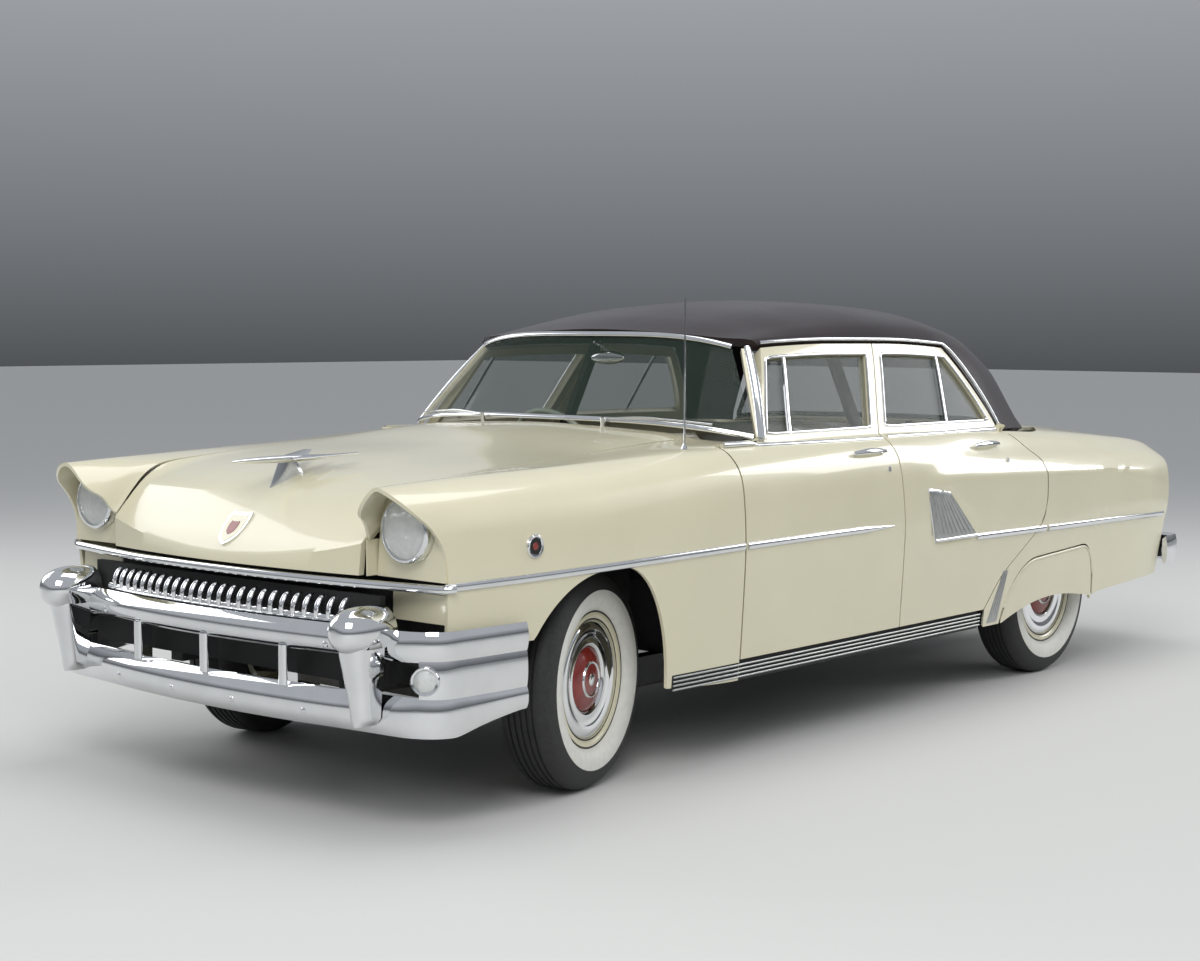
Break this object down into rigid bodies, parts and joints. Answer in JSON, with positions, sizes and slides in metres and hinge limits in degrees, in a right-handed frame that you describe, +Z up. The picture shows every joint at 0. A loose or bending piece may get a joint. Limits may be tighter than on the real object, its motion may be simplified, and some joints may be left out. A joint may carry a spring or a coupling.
{
  "type": "four-door sedan",
  "caption": "Long 1950s sedan with a two-tone body, finned lamp hoods, a toothed bumper grille, skirted rear wheels, opening doors, hood and trunk lid, and steered front wheels.",
  "frame": {"origin": "on the ground, at the centre of the bounding box in plan", "axes": "+X to the car's left side, -Y to the front, +Z up"},
  "size_m": [1.94, 5.229, 1.6035],
  "materials": {
    "body_paint": "gloss",
    "roof_paint": "gloss",
    "bright_metal": "polished",
    "chassis_black": "satin",
    "tyre_rubber": "matte",
    "window_glass": "clear",
    "lamp_glass": "clear",
    "red_lens": "clear",
    "seat_cloth": "woven",
    "ivory_plastic": "gloss",
    "cast_iron": "rough"
  },
  "bodies": {
    "car_body": {"antenna": "bright_metal", "body_shell": "chassis_black", "bumper_front": "bright_metal", "bumper_rear": "bright_metal", "cowl": "body_paint", "dashboard": "body_paint", "engine": "cast_iron", "exhaust": "chassis_black", "fender_left": "body_paint", "fender_right": "body_paint", "frame": "chassis_black", "front_seat": "seat_cloth", "front_structure": "chassis_black", "front_suspension": "cast_iron", "fuel_tank": "chassis_black", "grille": "bright_metal", "headlamp_left": "lamp_glass", "headlamp_right": "lamp_glass", "quarter_left": "body_paint", "quarter_right": "body_paint", "rear_axle": "cast_iron", "rear_deck": "body_paint", "rear_seat": "seat_cloth", "rear_window": "window_glass", "roof": "roof_paint", "skirt_left": "body_paint", "skirt_right": "body_paint", "tail_panel": "body_paint", "taillamp_left": "red_lens", "taillamp_right": "red_lens", "windshield": "window_glass"},
    "hood": {"hood": "body_paint"},
    "trunk_lid": {"trunk_lid": "body_paint"},
    "steering_wheel": {"steering_wheel": "ivory_plastic"},
    "door_front_left": {"door_front_left": "body_paint", "glass_front_left": "window_glass"},
    "door_rear_left": {"door_rear_left": "body_paint", "glass_rear_left": "window_glass"},
    "knuckle_left": {"knuckle_left": "cast_iron"},
    "wheel_front_left": {"wheel_front_left": "bright_metal", "tyre_front_left": "tyre_rubber"},
    "wheel_rear_left": {"wheel_rear_left": "bright_metal", "tyre_rear_left": "tyre_rubber"},
    "door_front_right": {"door_front_right": "body_paint", "glass_front_right": "window_glass"},
    "door_rear_right": {"door_rear_right": "body_paint", "glass_rear_right": "window_glass"},
    "knuckle_right": {"knuckle_right": "cast_iron"},
    "wheel_front_right": {"wheel_front_right": "bright_metal", "tyre_front_right": "tyre_rubber"},
    "wheel_rear_right": {"wheel_rear_right": "bright_metal", "tyre_rear_right": "tyre_rubber"}
  },
  "joints": [
    {"name": "steer_left", "type": "hinge", "parent": "car_body", "child": "knuckle_left", "pos_m": [0.6082, -1.6435, 0.357], "axis": [0, 0, 1], "range_deg": [-42.6, 13.4]},
    {"name": "steer_right", "type": "hinge", "parent": "car_body", "child": "knuckle_right", "pos_m": [-0.6082, -1.6435, 0.357], "axis": [0, 0, 1], "range_deg": [-42.6, 13.4]},
    {"name": "spin_front_left", "type": "hinge", "parent": "knuckle_left", "child": "wheel_front_left", "pos_m": [0.734, -1.61073, 0.357], "axis": [0.9677, 0.2521, 0], "continuous": true},
    {"name": "spin_front_right", "type": "hinge", "parent": "knuckle_right", "child": "wheel_front_right", "pos_m": [-0.734, -1.67627, 0.357], "axis": [0.9677, 0.2521, 0], "continuous": true},
    {"name": "spin_rear_left", "type": "hinge", "parent": "car_body", "child": "wheel_rear_left", "pos_m": [0.7495, 1.393, 0.357], "axis": [1, 0, 0], "continuous": true},
    {"name": "spin_rear_right", "type": "hinge", "parent": "car_body", "child": "wheel_rear_right", "pos_m": [-0.7495, 1.393, 0.357], "axis": [1, 0, 0], "continuous": true},
    {"name": "door_front_left_hinge", "type": "hinge", "parent": "car_body", "child": "door_front_left", "pos_m": [0.967, -0.972, 0.7], "axis": [0, 0, -1], "range_deg": [0, 65]},
    {"name": "door_rear_left_hinge", "type": "hinge", "parent": "car_body", "child": "door_rear_left", "pos_m": [0.97, 0.036, 0.7], "axis": [0, 0, -1], "range_deg": [0, 65]},
    {"name": "door_front_right_hinge", "type": "hinge", "parent": "car_body", "child": "door_front_right", "pos_m": [-0.967, -0.972, 0.7], "axis": [0, 0, 1], "range_deg": [0, 65]},
    {"name": "door_rear_right_hinge", "type": "hinge", "parent": "car_body", "child": "door_rear_right", "pos_m": [-0.97, 0.036, 0.7], "axis": [0, 0, 1], "range_deg": [0, 65]},
    {"name": "hood_hinge", "type": "hinge", "parent": "car_body", "child": "hood", "pos_m": [0, -0.985, 1.146], "axis": [-1, 0, 0], "range_deg": [0, 48]},
    {"name": "trunk_hinge", "type": "hinge", "parent": "car_body", "child": "trunk_lid", "pos_m": [0, 1.647, 1.076], "axis": [1, 0, 0], "range_deg": [0, 58]},
    {"name": "steering_hinge", "type": "hinge", "parent": "car_body", "child": "steering_wheel", "pos_m": [-0.37, -0.44, 0.965], "axis": [0, 0.8829, 0.4695], "range_deg": [-681.6, 214.4]}
  ],
  "couplings": [
    {"joint": "steer_right", "follows": "steer_left", "ratio": 1},
    {"joint": "steering_hinge", "follows": "steer_left", "ratio": 16}
  ]
}
